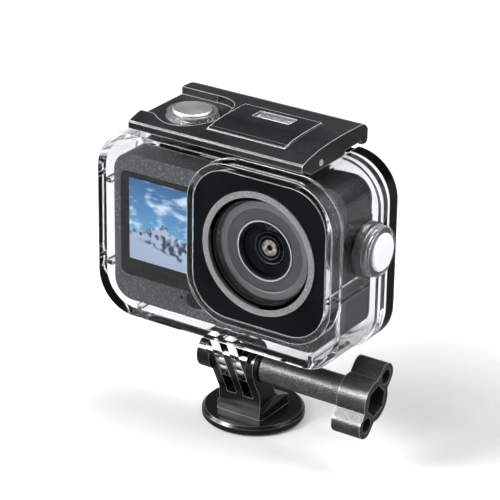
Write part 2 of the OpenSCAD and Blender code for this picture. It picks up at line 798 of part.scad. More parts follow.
module side_collar() {
    color([0.85, 0.90, 0.92, 0.35])
    translate([shell_x1, -side_y, side_z])
        rotate([0, 90, 0])
            difference() {
                union() {
                    cylinder(h = 1.8, d = side_collar_d);
                    cylinder(h = side_collar_end - shell_x1, d = side_collar_d - 1.6);
                    for (k = [0 : 1])
                        translate([0, 0, 2.5 + 1.3 * k])
                            cylinder(h = 0.6, d = side_collar_d - 0.9);
                }
                translate([0, 0, side_floor - shell_x1]) cylinder(h = 8, d = side_cap_d + 0.3);
                translate([0, 0, 0.4]) cylinder(h = 8, r = seal_r + seal_wire + 0.02);
                translate([0, 0, -1]) cylinder(h = 8, d = plunger_d + 0.12);
            }
}

module side_cap() {
    color([0.86, 0.87, 0.88])
    translate([side_cap_end - cap_t, -side_y, side_z])
        rotate([0, 90, 0]) {
            cylinder(h = cap_t - 0.4, d = side_cap_d);
            translate([0, 0, cap_t - 0.4])
                cylinder(h = 0.4, d1 = side_cap_d, d2 = side_cap_d - 0.8);
        }
}

module side_plunger() {
    color([0.20, 0.20, 0.21])
        x_cyl(mode_face + rod_gap, side_cap_end - cap_t, -side_y, side_z, plunger_d);
}

module side_seal() {
    color([0.05, 0.05, 0.05])
    translate([shell_x1 + 0.4 + seal_wire + 0.02, -side_y, side_z])
        rotate([0, 90, 0]) o_ring(seal_r, seal_wire);
}

module side_spring() {
    color([0.75, 0.76, 0.78])
    translate([side_floor + 0.02, -side_y, side_z])
        rotate([0, 90, 0]) coil(3.6, 0.3, 2, side_cap_end - cap_t - side_floor - 0.04);
}

// ---- Camera ----

// Solid of the camera's body between two Y values, shrunk by a margin
module cam_slab(y0, y1, margin) {
    slab(cam_xc, cam_zc, cam_w - 2 * margin, cam_h - 2 * margin, cam_r - margin, y0, y1);
}

module screen_slab(margin, y0, y1) {
    slab(cam_x0 + 17.6, cam_z0 + 23.8, 30.8 - 2 * margin, 32.0 - 2 * margin, 2.2, y0, y1);
}

// Does something at the four corners where the casings are screwed together
module at_corners() {
    inset = cam_wall + 2.0;
    for (x = [cam_x0 + inset, cam_x1 - inset], z = [cam_z0 + inset, cam_z1 - inset])
        translate([x, 0, z]) children();
}

module camera_front() {
    color([0.27, 0.28, 0.29])
    difference() {
        union() {
            difference() {
                cam_slab(cam_y0, split_y, 0);
                cam_slab(cam_y0 + cam_wall, split_y + 1, cam_wall);
            }
            at_corners() y_cyl(0, 0, cam_y0 + 1, split_y, 3.8);
            y_cyl(lens_x, lens_z, lens_y0 + 1.6, cam_y0 + cam_wall, lens_ring_d - 0.6);
        }
        at_corners() y_cyl(0, 0, split_y - 5, split_y + 1, 1.6);
        screen_slab(0, cam_y0 - 1, cam_y0 + 0.9);
        y_cyl(lens_x, lens_z, lens_y0 - 1, cam_y0 + 4, lens_ring_d - 5);
        translate([-shutter_x, -shutter_y, cam_z1 - 4]) cylinder(h = 5, d = 6.2);
        x_cyl(cam_x1 - 4, cam_x1 + 1, -side_y, side_z, 6.2);
        slab(cam_x0 + 28.0, cam_z0 + 5.4, 6.0, 4.6, 2.0, cam_y0 - 1, cam_y0 + 0.7);
        y_cyl(cam_x0 + 23.2, cam_z0 + 5.5, cam_y0 - 1, cam_y0 + 0.8, 1.1);
    }
}

module camera_back() {
    color([0.22, 0.23, 0.24])
    difference() {
        union() {
            difference() {
                cam_slab(split_y, cam_y1, 0);
                cam_slab(split_y - 1, cam_y1 - cam_wall, cam_wall);
            }
            at_corners() y_cyl(0, 0, split_y, cam_y1 - 1, 3.8);
        }
        at_corners() {
            y_cyl(0, 0, split_y - 1, cam_y1 + 1, 1.6);
            y_cyl(0, 0, cam_y1 - 1.1, cam_y1 + 1, 2.8);
        }
        slab(cam_xc, cam_zc, 56.2, 35.2, 2.2, cam_y1 - 0.9, cam_y1 + 1);
        translate([-shutter_x, -shutter_y, cam_z1 - 4]) cylinder(h = 5, d = 6.2);
        x_cyl(cam_x1 - 4, cam_x1 + 1, -side_y, side_z, 6.2);
        box([cam_x0 - 1, cam_y1 - 16.5, cam_z0 + 8], [cam_x0 + cam_wall + 1, cam_y1 - 5.5, cam_z0 + 38]);
    }
}

module battery_door() {
    color([0.20, 0.21, 0.22])
        box([cam_x0, cam_y1 - 12.9, cam_z0 + 8.1], [cam_x0 + cam_wall, cam_y1 - 5.6, cam_z0 + 37.9]);
}

module lens_ring() {
    color([0.36, 0.37, 0.38])
    difference() {
        y_cyl(lens_x, lens_z, lens_y0, lens_y0 + 1.6, lens_ring_d);
        y_cyl(lens_x, lens_z, lens_y0 - 1, lens_y0 + 3, lens_trim_d + 0.04);
    }
}

module lens_trim() {
    color([0.75, 0.76, 0.78])
    difference() {
        y_cyl(lens_x, lens_z, lens_y0 - 0.1, lens_y0 + 1.6, lens_trim_d);
        y_cyl(lens_x, lens_z, lens_y0 - 1, lens_y0 + 3, lens_trim_d - 0.9);
    }
}

module lens_barrel() {
    tube_d = lens_trim_d - 0.9 - 0.04;
    color([0.03, 0.03, 0.03])
    difference() {
        y_cyl(lens_x, lens_z, lens_y0 + 0.5, cam_y0 + 7, tube_d);
        y_cyl(lens_x, lens_z, lens_y0, lens_y0 + 2.0, tube_d - 1.6);
        y_cyl(lens_x, lens_z, lens_y0, cam_y0 + 5.4, tube_d - 6);
        y_cyl(lens_x, lens_z, lens_y0, cam_y0 + 8, 7.6);
    }
}

module lens_dome() {
    cap_r = (lens_trim_d - 0.9 - 0.04 - 1.7) / 2;
    sphere_r = 14;
    color([0.20, 0.22, 0.28, 0.5])
    translate([lens_x, lens_y0 + 1.9, lens_z])
        rotate([90, 0, 0])
            rotate_extrude()
                intersection() {
                    translate([0, 2 - sphere_r]) circle(sphere_r);
                    square([cap_r, 2]);
                }
}

module lens_group() {
    tube_d = lens_trim_d - 0.9 - 0.04;
    color([0.35, 0.38, 0.45, 0.5])
        for (k = [0 : 2])
            y_cyl(lens_x, lens_z, lens_y0 + 3.0 + 2.6 * k, lens_y0 + 4.2 + 2.6 * k, tube_d - 6.1);
}

module image_sensor() {
    color([0.15, 0.30, 0.32])
        slab(lens_x, lens_z, 14, 12, 0.6, cam_y0 + 7.2, cam_y0 + 8.4);
}

module front_bezel() {
    color([0.02, 0.02, 0.025])
    difference() {
        screen_slab(0.05, cam_y0 - 0.05, cam_y0 + 0.85);
        slab(cam_x0 + 17.6, cam_z0 + 25.6, 25.0, 25.0, 0.6, cam_y0 - 1, cam_y0 + 2);
    }
}

module front_display() {
    color([0.35, 0.55, 0.78])
        slab(cam_x0 + 17.6, cam_z0 + 25.6, 24.9, 24.9, 0.55, cam_y0 + 0.05, cam_y0 + 0.85);
}

module rear_cover() {
    color([0.02, 0.02, 0.025])
    difference() {
        slab(cam_xc, cam_zc, 56.1, 35.1, 2.15, cam_y1 - 0.85, cam_y1 + 0.05);
        slab(cam_xc, cam_zc, 50.0, 28.2, 0.6, cam_y1 - 1, cam_y1 - 0.35);
    }
}

module rear_display() {
    color([0.05, 0.06, 0.07])
        slab(cam_xc, cam_zc, 49.9, 28.1, 0.55, cam_y1 - 0.85, cam_y1 - 0.37);
}

module main_board() {
    color([0.08, 0.30, 0.16])
    difference() {
        cam_slab(cam_y1 - 4.4, cam_y1 - 3.2, cam_wall + 0.6);
        box([cam_x0, cam_y1 - 6, cam_z0], [cam_x0 + 27.4, cam_y1, cam_z1]);
        at_corners() y_cyl(0, 0, cam_y1 - 6, cam_y1, 4.2);
    }
}

module heat_spreader() {
    color([0.72, 0.73, 0.74])
        box([cam_x0 + 28, cam_y0 + 9.0, cam_z0 + 6], [cam_x1 - 4, cam_y0 + 10.0, cam_z1 - 6]);
}

module battery() {
    color([0.24, 0.25, 0.27])
        box([cam_x0 + cam_wall + 0.6, cam_y0 + 3.4, cam_z0 + 6.0],
            [cam_x0 + 26.6, cam_y1 - 3.4, cam_z1 - 6.0]);
}

module record_button() {
    color([0.70, 0.20, 0.18])
    translate([-shutter_x, -shutter_y, cam_z1 - 1.9])
        cylinder(h = record_top - cam_z1 + 1.9, d = 6.0);
}

module mode_button() {
    color([0.30, 0.31, 0.32])
        x_cyl(cam_x1 - 1.9, mode_face, -side_y, side_z, 6.0);
}

module mic_mesh() {
    color([0.04, 0.04, 0.04]) {
        slab(cam_x0 + 28.0, cam_z0 + 5.4, 5.9, 4.5, 1.95, cam_y0 + 0.3, cam_y0 + 0.7);
        y_cyl(cam_x0 + 23.2, cam_z0 + 5.5, cam_y0 + 0.3, cam_y0 + 0.8, 1.05);
    }
}

module camera_screws() {
    color([0.45, 0.46, 0.48])
        at_corners() {
            y_cyl(0, 0, split_y - 4.5, cam_y1 - 1.05, 1.6);
            difference() {
                y_cyl(0, 0, cam_y1 - 1.1, cam_y1 - 0.2, 2.8);
                translate([0, cam_y1 + 0.5, 0]) rotate([90, 0, 0]) cylinder(h = 1.2, d = 1.4, $fn = 6);
            }
        }
}

mount_base();
tripod_insert();
lock_nut();
clamp_rod();
clamp_washer();
clamp_sleeve();
clamp_knob();
front_shell();
port_mask();
port_ring();
port_window();
port_seal();
top_cover();
cover_pins();
flap_pin();
release_flap();
flap_window();
rear_door();
door_seal();
door_hinge_pin();
shutter_collar();
shutter_cap();
shutter_plunger();
shutter_seal();
shutter_spring();
side_collar();
side_cap();
side_plunger();
side_seal();
side_spring();
camera_front();
camera_back();
lens_ring();
lens_trim();
lens_barrel();
lens_dome();
lens_group();
image_sensor();
front_bezel();
front_display();
rear_cover();
rear_display();
main_board();
heat_spreader();
battery();
battery_door();
record_button();
mode_button();
mic_mesh();
camera_screws();
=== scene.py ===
# %% [markdown]
# # Action camera in a clear dive case
# This lesson dresses a CAD model of a small camera that sits inside a clear waterproof case on a
# tilting tripod mount. The CAD pieces keep their shape and place. We round their edges, give each
# one a material, turn finer rings for the lens and wind the two return springs.

# %% Load the CAD model
import json
import math
import bmesh
import bpy
from mathutils import Matrix, Vector


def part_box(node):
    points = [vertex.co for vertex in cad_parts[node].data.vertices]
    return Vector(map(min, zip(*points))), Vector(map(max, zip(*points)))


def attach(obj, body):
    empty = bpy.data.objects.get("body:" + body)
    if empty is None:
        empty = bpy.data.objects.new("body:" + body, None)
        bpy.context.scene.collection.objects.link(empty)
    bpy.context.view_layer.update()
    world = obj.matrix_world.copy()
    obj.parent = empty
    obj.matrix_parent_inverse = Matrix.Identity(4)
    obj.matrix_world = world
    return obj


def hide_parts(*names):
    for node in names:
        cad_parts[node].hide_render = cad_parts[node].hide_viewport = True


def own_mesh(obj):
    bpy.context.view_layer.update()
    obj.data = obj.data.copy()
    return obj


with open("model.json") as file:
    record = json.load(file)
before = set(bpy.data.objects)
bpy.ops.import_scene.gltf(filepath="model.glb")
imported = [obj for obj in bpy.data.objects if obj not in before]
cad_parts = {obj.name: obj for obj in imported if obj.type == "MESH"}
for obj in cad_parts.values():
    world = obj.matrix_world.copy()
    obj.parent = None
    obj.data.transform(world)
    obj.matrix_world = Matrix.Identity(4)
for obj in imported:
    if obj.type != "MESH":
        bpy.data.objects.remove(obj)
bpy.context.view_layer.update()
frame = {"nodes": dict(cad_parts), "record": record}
nodes = frame["nodes"]
per_metre = 1000  # millimetres in one metre

def rounded(corner):
    return [round(value, 4) for value in corner]

# %% [markdown]
# ## Small helpers
# `material` makes a new material with one Principled shader and gives back its pieces.
# `set_on` changes one number on a finished material's shader, `link` joins two sockets, and
# `put` fills a socket with whatever it is given. Sizes are in metres, because one Blender unit
# is one metre here.

# %% Make, change and link
def material(name, color, rough=0.5, metal=0.0, **inputs):
    mat = bpy.data.materials.new(name)
    mat.use_nodes = True
    tree = mat.node_tree
    shader = tree.nodes["Principled BSDF"]
    shader.inputs["Base Color"].default_value = (*color, 1.0)
    shader.inputs["Roughness"].default_value = rough
    shader.inputs["Metallic"].default_value = metal
    for key, value in inputs.items():
        shader.inputs[key.replace("_", " ")].default_value = value
    return mat, tree, shader

def set_on(mat, name, value):
    mat.node_tree.nodes["Principled BSDF"].inputs[name].default_value = value

def link(tree, a, a_out, b, b_in):
    tree.links.new(a.outputs[a_out], b.inputs[b_in])

def put(tree, value, socket):
    """Fills a socket with a number, a colour or another node's output."""
    if isinstance(value, tuple):
        socket.default_value = (*value, 1.0)
    elif isinstance(value, (int, float)):
        socket.default_value = value
    else:
        tree.links.new(value, socket)

def names(mats):
    return [mat.name for mat in mats]

print("helpers ready: material, set_on, link, put, names")

# %% [markdown]
# ## Patterns and bumps
# Nearly every finish below starts from noise: a grey pattern that fills space. `bump` reads it as
# tiny hills, and `ramp` reads it as a scale from one colour to another. `remap` stretches a range
# of values onto another range, and `mix` blends two colours. Object coordinates keep a pattern
# fixed to its piece, so it moves with the piece and looks the same from every side.

# %% Noise, bump, ramp, remap and mix
def position(tree):
    return tree.nodes.new("ShaderNodeTexCoord")

def noise(tree, scale, detail=3.0):
    tex = tree.nodes.new("ShaderNodeTexNoise")
    tex.inputs["Scale"].default_value = scale
    tex.inputs["Detail"].default_value = detail
    link(tree, position(tree), "Object", tex, "Vector")
    return tex

def bump(tree, shader, tex, out, strength, distance):
    node = tree.nodes.new("ShaderNodeBump")
    node.inputs["Strength"].default_value = strength
    node.inputs["Distance"].default_value = distance
    link(tree, tex, out, node, "Height")
    link(tree, node, "Normal", shader, "Normal")

def ramp(tree, tex, out, stops):
    node = tree.nodes.new("ShaderNodeValToRGB")
    for element, (place, color) in zip(node.color_ramp.elements, stops):
        element.position = place
        element.color = (*color, 1.0)
    link(tree, tex, out, node, "Fac")
    return node.outputs["Color"]

def remap(tree, value, low, high, to_low=0.0, to_high=1.0):
    node = tree.nodes.new("ShaderNodeMapRange")
    node.inputs["From Min"].default_value = low
    node.inputs["From Max"].default_value = high
    node.inputs["To Min"].default_value = to_low
    node.inputs["To Max"].default_value = to_high
    tree.links.new(value, node.inputs["Value"])
    return node.outputs["Result"]

def mix(tree, share, first, second, blend="MIX"):
    node = tree.nodes.new("ShaderNodeMix")
    node.data_type = "RGBA"
    node.blend_type = blend
    # A Mix node for colours has its factor in socket 0 and its two colours in 6 and 7.
    for number, value in ((0, share), (6, first), (7, second)):
        put(tree, value, node.inputs[number])
    return node.outputs[2]

print("patterns ready: noise, bump, ramp, remap, mix")

# %% [markdown]
# ## The camera
# The camera stands in front, a little to the right and above, and looks down at the object.
# A matrix holds its right, up and back directions and its place. A long lens from 0.7 m away
# keeps the case's edges nearly parallel.

# %% Set the camera
cam_data = bpy.data.cameras.new("view")
cam_data.lens = 176.2
cam_data.sensor_width = 36.0
cam_data.clip_start = 0.01
camera = bpy.data.objects.new("view", cam_data)
bpy.context.scene.collection.objects.link(camera)
right = Vector((0.83324, 0.55277, 0.01263)).normalized()
back = Vector((0.49915, -0.76184, 0.41287)).normalized()
up = back.cross(right).normalized()
place = Vector((0.34613, -0.53132, 0.33956))
camera.matrix_world = Matrix((
    (right.x, up.x, back.x, place.x),
    (right.y, up.y, back.y, place.y),
    (right.z, up.z, back.z, place.z),
    (0, 0, 0, 1)))
bpy.context.scene.camera = camera
case_middle = Vector((0, 0, 0.06))
print("camera is", round((place - case_middle).length, 3), "m away")

# %% [markdown]
# ## The floor
# The floor is one wide sheet of matt board, lit brightly enough to read as white. It is left out
# of mirror reflections, so that the glossy black pieces stay black instead of showing a white
# floor.

# %% Floor
floor_mat, tree, shader = material("floor", (0.37, 0.37, 0.37), 0.9, Specular_IOR_Level=0.1)
speck = noise(tree, 40.0)
tint = ramp(tree, speck, "Fac", [(0.3, (0.365, 0.365, 0.365)), (0.7, (0.375, 0.375, 0.375))])
tree.links.new(tint, shader.inputs["Base Color"])
cells = 8
reach = 4.0  # half the floor's width
bm = bmesh.new()
grid = [[bm.verts.new((reach * (2 * i / cells - 1), reach * (2 * j / cells - 1), 0.0))
    for i in range(cells + 1)] for j in range(cells + 1)]
for j in range(cells):
    for i in range(cells):
        bm.faces.new((grid[j][i], grid[j][i + 1], grid[j + 1][i + 1], grid[j + 1][i]))
mesh = bpy.data.meshes.new("floor")
bm.to_mesh(mesh)
bm.free()
mesh.materials.append(floor_mat)
floor = bpy.data.objects.new("floor", mesh)
bpy.context.scene.collection.objects.link(floor)
floor.visible_glossy = False
print("floor is", 2 * reach, "m wide")

# %% [markdown]
# ## Tone
# Black plastic next to a white floor needs strong contrast. A gamma below one darkens the middle
# greys, and a little extra exposure brings the white back.

# %% Exposure and gamma
view = bpy.context.scene.view_settings
view.view_transform = "Standard"
view.exposure = 0.30
view.gamma = 0.76
print("exposure", round(view.exposure, 2), "gamma", round(view.gamma, 2))

# %% [markdown]
# ## The room
# A clear case is drawn by what it mirrors and bends. The room is therefore a stack of pale and
# dim bands from the ground to the ceiling, and their borders become the light and dark lines
# along the walls of the case.

# %% The room's bands
world = bpy.data.worlds.new("studio")
bpy.context.scene.world = world
world.use_nodes = True
room = world.node_tree
direction = room.nodes.new("ShaderNodeTexCoord")
split = room.nodes.new("ShaderNodeSeparateXYZ")
link(room, direction, "Generated", split, "Vector")
height = remap(room, split.outputs["Z"], -1.0, 1.0)  # 0 straight down, 1 straight up
shades = room.nodes.new("ShaderNodeValToRGB")
room.links.new(height, shades.inputs["Fac"])
ground, ceiling = shades.color_ramp.elements
ground.position, ground.color = 0.0, (0.55, 0.55, 0.56, 1.0)
ceiling.position, ceiling.color = 1.0, (0.50, 0.51, 0.53, 1.0)
bands = ((0.20, 0.25), (0.32, 0.35), (0.42, 0.65), (0.55, 0.75), (0.62, 0.15), (0.80, 0.16))
blue_tint = 1.03
for at, tone in bands:
    band = shades.color_ramp.elements.new(at)
    band.color = (tone, tone, tone * blue_tint, 1.0)
link(room, shades, "Color", room.nodes["Background"], "Color")
room.nodes["Background"].inputs["Strength"].default_value = 1.0
print("tones in the room:", len(shades.color_ramp.elements))

# %% [markdown]
# ## The lamps
# A big soft lamp stands behind and above, so the shadow falls forward. The two edge lamps sit
# where rounded front edges mirror them towards the camera, which draws the bright edge lines.
# Three strips add sheen from the left, the front and the right.

# %% Lamps
def lamp(name, at, aim, size, power):
    """Adds a soft lamp at one point, turned to shine on another; power is in watts."""
    data = bpy.data.lights.new(name, "AREA")
    data.shape = "RECTANGLE"
    data.size, data.size_y = size
    data.energy = power
    obj = bpy.data.objects.new(name, data)
    obj.location = at
    obj.rotation_euler = (Vector(aim) - Vector(at)).to_track_quat("-Z", "Y").to_euler()
    bpy.context.scene.collection.objects.link(obj)

lamp("top", (0.30, 0.35, 1.05), (0, 0, 0.0), (0.9, 0.8), 16)
lamp("edge", (-0.70, -0.58, 1.05), (0, 0, 0.06), (0.45, 0.32), 14)
lamp("low edge", (-0.58, -0.80, 0.56), (0, 0, 0.06), (0.40, 0.30), 16)
lamp("left strip", (-0.75, -0.25, 0.35), (0, 0, 0.06), (0.18, 0.7), 4)
lamp("front strip", (-0.1, -0.9, 0.55), (0, 0, 0.06), (0.5, 0.2), 4)
lamp("right strip", (0.8, 0.05, 0.40), (0, 0, 0.05), (0.18, 0.8), 5)

# %% [markdown]
# ## Finding the edges
# A paler tone mixed in along moulded edges is a painted highlight: it stands in for the light
# that rounded edges catch. The Bevel node gives the direction a surface would face if its edges
# were rounded. Where that differs from the way the flat face looks, we are close to an edge.

# %% Edge mask
def edge_mask(tree, size, at_flat, at_edge):
    """Goes from at_flat to at_edge where the surface turns a corner within size metres."""
    hardly_turned, well_turned = 0.985, 0.80  # cosines of the angle between the two directions
    soft = tree.nodes.new("ShaderNodeBevel")
    soft.samples = 6
    soft.inputs["Radius"].default_value = size
    flat = tree.nodes.new("ShaderNodeNewGeometry")
    turn = tree.nodes.new("ShaderNodeVectorMath")
    turn.operation = "DOT_PRODUCT"
    link(tree, soft, "Normal", turn, 0)
    link(tree, flat, "True Normal", turn, 1)
    return remap(tree, turn.outputs["Value"], hardly_turned, well_turned, at_flat, at_edge)

def paint_edge_highlights(tree, tone, size, bright):
    """Mixes a paler tone in along the edges as a painted highlight."""
    # painted highlight: the pale colour mixed in along the edges
    edge_highlight_tone = (bright, bright, bright * 1.01)
    return mix(tree, edge_mask(tree, size, 0.0, 1.0), tone, edge_highlight_tone)

print("edge helpers ready: edge_mask, paint_edge_highlights")

# %% [markdown]
# ## Black plastics
# Moulded plastic is never one flat grey. A fine noise bumps its surface, and a slow one varies
# its tone and how shiny it is. On grained parts a third one sprinkles darker and paler dots, and
# some parts get a painted highlight along their edges.

# %% A moulded plastic
patch_scale = 90.0  # patches about a centimetre across
grain_height = 0.0001
gloss_spread = 0.06
dark_dot, pale_dot = (0.55, 0.55, 0.55), (2.0, 2.0, 2.0)

def plastic(name, color, rough, grain, depth, vary=0.15, sparkle=None, edge=None):
    """grain and sparkle are pattern scales; edge is the painted edge highlight's width and
    brightness.
    """
    mat, tree, shader = material(name, color, rough)
    fine = noise(tree, grain, 2.0)
    slow = noise(tree, patch_scale, 4.0)
    low = tuple(c * (1 - vary) for c in color)
    high = tuple(min(1, c * (1 + vary) + 0.002) for c in color)
    tone = ramp(tree, slow, "Fac", [(0.3, low), (0.7, high)])
    if sparkle:
        dots = noise(tree, sparkle, 1.0)
        grey = ramp(tree, dots, "Fac", [(0.38, dark_dot), (0.70, pale_dot)])
        tone = mix(tree, 1.0, tone, grey, "MULTIPLY")
    # painted highlight along the edges, mixed into the base colour
    if edge:
        tone = paint_edge_highlights(tree, tone, edge[0], edge[1])
    tree.links.new(tone, shader.inputs["Base Color"])
    gloss = remap(tree, slow.outputs["Fac"], 0.3, 0.7, rough - gloss_spread, rough + gloss_spread)
    tree.links.new(gloss, shader.inputs["Roughness"])
    bump(tree, shader, fine, "Fac", depth, grain_height)
    return mat

print("grain is", grain_height * per_metre, "mm deep at full strength")

# %% [markdown]
# ## One plastic for each kind of part
# The mount is glossy, the knob and its sleeve are coarse and grey, and the top cover and its flap
# are finely grained. The panel and the barrel mirror little, because they lie in the shade behind
# clear plastic.

# %% Mix the black plastics
# edge= paints a pale highlight along the edges of the mount, the knob, the cover and the flap
black = plastic("black plastic", (0.007, 0.007, 0.008), 0.22, 2500.0, 0.2,
    edge=(0.0004, 0.22))
knob_black = plastic("knob plastic", (0.024, 0.024, 0.025), 0.32, 2200.0, 0.5,
    sparkle=3000.0, edge=(0.0005, 0.20))
sleeve_black = plastic("sleeve plastic", (0.042, 0.042, 0.043), 0.40, 1500.0, 1.0,
    sparkle=2600.0)
cover_black = plastic("cover plastic", (0.008, 0.008, 0.009), 0.34, 2600.0, 0.7,
    sparkle=2600.0, edge=(0.0005, 0.34))
flap_black = plastic("flap plastic", (0.006, 0.006, 0.007), 0.32, 2800.0, 0.55,
    sparkle=2600.0, edge=(0.0005, 0.50))
panel_black = plastic("port panel", (0.003, 0.003, 0.004), 0.6, 2500.0, 0.2)
set_on(panel_black, "Specular IOR Level", 0.12)
rubber = plastic("rubber", (0.012, 0.012, 0.012), 0.7, 900.0, 0.4)
silicone = plastic("silicone seal", (0.34, 0.34, 0.35), 0.45, 900.0, 0.4)
barrel_black = plastic("lens barrel", (0.002, 0.002, 0.003), 0.5, 3000.0, 0.2)
set_on(barrel_black, "Specular IOR Level", 0.2)
print("plastics:", names((black, knob_black, sleeve_black, cover_black, flap_black,
    panel_black, rubber, silicone, barrel_black)))

# %% [markdown]
# ## Clear plastic and glass
# These walls let nearly all light through. They bend it a little and mirror more of it at a flat
# angle, and that is what draws the edges of the case. Along sharp edges less light passes, so the
# pale base colour shows there as painted bright edge lines. The flat windows get a very low
# index, so that they mirror little and what lies behind them stays easy to see.

# %% Clear materials
ripple_scale, ripple_height = 60.0, 0.0004

def clear(name, color, rough=0.02, ior=1.5, edge=None):
    """edge is the painted bright edge line's width and the share of light that still passes
    there.
    """
    mat, tree, shader = material(name, color, rough, Transmission_Weight=1.0, IOR=ior)
    # painted highlight: less light passes along the edges, so the pale base colour draws bright
    # lines
    if edge:
        passing = edge_mask(tree, edge[0], 1.0, edge[1])
        tree.links.new(passing, shader.inputs["Transmission Weight"])
    slow = noise(tree, ripple_scale, 2.0)
    bump(tree, shader, slow, "Fac", 0.02, ripple_height)
    return mat

# width and passing share of the painted bright edge lines on the case and the door
painted_edge_lines = (0.0006, 0.62)
clear_case = clear("clear case", (0.90, 0.91, 0.915), 0.04, 1.36, painted_edge_lines)
clear_door = clear("clear door", (0.90, 0.91, 0.915), 0.04, 1.36, painted_edge_lines)
clear_ring = clear("clear ring", (0.95, 0.97, 0.98))
set_on(clear_ring, "Transmission Weight", 0.92)
port_clear = clear("port ring", (0.95, 0.97, 0.98))
set_on(port_clear, "Transmission Weight", 0.86)
window_glass = clear("window glass", (0.995, 1.0, 1.0), 0.0, 1.08)
lens_glass = clear("lens glass", (0.80, 0.84, 0.95), 0.0, 1.12)
print("clear materials:", names((clear_case, clear_door, clear_ring, port_clear,
    window_glass, lens_glass)))

# %% [markdown]
# ## Metals
# Turned metal has fine rings around its axis. The wave texture in ring mode makes them, and
# moving its coordinates puts the rings' centre on the axis of the piece.

# %% A turned metal
tool_mark_height = 0.00005

def turned(name, color, rough, centre, ring_axis, scale, strength):
    mat, tree, shader = material(name, color, rough, 1.0)
    moved = tree.nodes.new("ShaderNodeMapping")
    moved.inputs["Location"].default_value = tuple(-c for c in centre)
    link(tree, position(tree), "Object", moved, "Vector")
    wave = tree.nodes.new("ShaderNodeTexWave")
    wave.wave_type = "RINGS"
    wave.rings_direction = ring_axis
    wave.inputs["Scale"].default_value = scale
    wave.inputs["Distortion"].default_value = 1.5
    wave.inputs["Detail"].default_value = 3.0
    link(tree, moved, "Vector", wave, "Vector")
    bump(tree, shader, wave, "Fac", strength, tool_mark_height)
    return mat

def middle(name):
    low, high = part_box(name)
    return (low + high) / 2

print("shutter button's middle:", rounded(middle("shutter_cap")))

# %% [markdown]
# ## Steel, brass and the turned pieces
# Steel and brass start as the moulded finish with its metal value turned up, because their grain
# has no direction. The buttons and the lens rings are turned, each round its own axis.

# %% Mix the metals
steel = plastic("steel", (0.62, 0.62, 0.63), 0.28, 1800.0, 0.1, 0.05)
set_on(steel, "Metallic", 1.0)
brass = plastic("brass", (0.70, 0.50, 0.22), 0.30, 1800.0, 0.1, 0.05)
set_on(brass, "Metallic", 1.0)
cap_metal = turned("shutter metal", (0.52, 0.51, 0.49), 0.40,
    middle("shutter_cap"), "Z", 1500.0, 0.35)
side_metal = turned("side button metal", (0.66, 0.66, 0.67), 0.38,
    middle("side_cap"), "X", 1500.0, 0.2)
set_on(side_metal, "Metallic", 0.25)
lens_grey = turned("lens ring", (0.20, 0.205, 0.21), 0.42,
    middle("lens_ring"), "Y", 1300.0, 0.1)
trim_silver = turned("silver trim", (0.42, 0.43, 0.44), 0.30,
    middle("lens_trim"), "Y", 1300.0, 0.1)
print("metals:", names((steel, brass, cap_metal, side_metal, lens_grey, trim_silver)))

# %% [markdown]
# ## The camera's speckled shell
# The camera is soft-touch plastic with pale specks. A Voronoi texture with a narrow ramp turns
# its cell centres into the specks.

# %% Speckled shell
speck_scale = 1300.0

def speckled(name, base):
    mat, tree, shader = material(name, base, 0.62)
    specks = tree.nodes.new("ShaderNodeTexVoronoi")
    specks.inputs["Scale"].default_value = speck_scale
    link(tree, position(tree), "Object", specks, "Vector")
    light = tuple(min(1, c * 3.5 + 0.03) for c in base)
    tone = ramp(tree, specks, "Distance", [(0.14, light), (0.34, base)])
    tree.links.new(tone, shader.inputs["Base Color"])
    fine = noise(tree, 2200.0, 2.0)
    bump(tree, shader, fine, "Fac", 0.5, grain_height)
    return mat

camera_shell = speckled("camera shell", (0.062, 0.063, 0.066))
camera_rear = speckled("camera rear shell", (0.018, 0.019, 0.020))
print("camera shells:", names((camera_shell, camera_rear)))

# %% [markdown]
# ## The picture on the front screen
# The screen shows a plain mountain view, drawn from noise alone. It needs coordinates that run
# from zero to one across the screen and up it, and three helpers: one adds or multiplies, one
# makes a stretched noise, and one turns a value into a soft step from zero to one.

# %% Screen coordinates and helpers
low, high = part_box("front_display")
size = high - low
picture, tree, shader = material("screen picture", (0.2, 0.4, 0.8), 0.25)
coords = tree.nodes.new("ShaderNodeMapping")
coords.inputs["Location"].default_value = (-low.x / size.x, 0.0, -low.z / size.z)
coords.inputs["Scale"].default_value = (1 / size.x, 0.0, 1 / size.z)
link(tree, position(tree), "Object", coords, "Vector")
split = tree.nodes.new("ShaderNodeSeparateXYZ")
link(tree, coords, "Vector", split, "Vector")

def combine(operation, a, b):
    node = tree.nodes.new("ShaderNodeMath")
    node.operation = operation
    put(tree, a, node.inputs[0])
    put(tree, b, node.inputs[1])
    return node.outputs[0]

def picture_noise(scale, detail, stretch):
    tex = tree.nodes.new("ShaderNodeTexNoise")
    tex.inputs["Scale"].default_value = scale
    tex.inputs["Detail"].default_value = detail
    stretched = tree.nodes.new("ShaderNodeMapping")
    stretched.inputs["Scale"].default_value = stretch
    link(tree, coords, "Vector", stretched, "Vector")
    link(tree, stretched, "Vector", tex, "Vector")
    return tex.outputs["Fac"]

def step(value, edge, soft):
    return remap(tree, value, edge - soft, edge + soft)

print("screen is", round(size.x * per_metre, 1), "by", round(size.z * per_metre, 1), "mm")

# %% [markdown]
# ## Sky, cloud, rock and snow
# Height fades the sky from pale to dark blue, and a flat noise lays clouds over it. The ridge is
# where height, less some noise, passes a level. Below it lie rocks, and below a slanted line
# lies the snow. The screen also glows a little, as a lit screen does.

# %% Paint the mountains
low_sky, high_sky, cloud = (0.08, 0.20, 0.33), (0.012, 0.055, 0.15), (0.36, 0.42, 0.50)
dark_rock, pale_rock, snow = (0.02, 0.035, 0.06), (0.24, 0.28, 0.35), (0.23, 0.27, 0.34)
across, tall = split.outputs["X"], split.outputs["Z"]

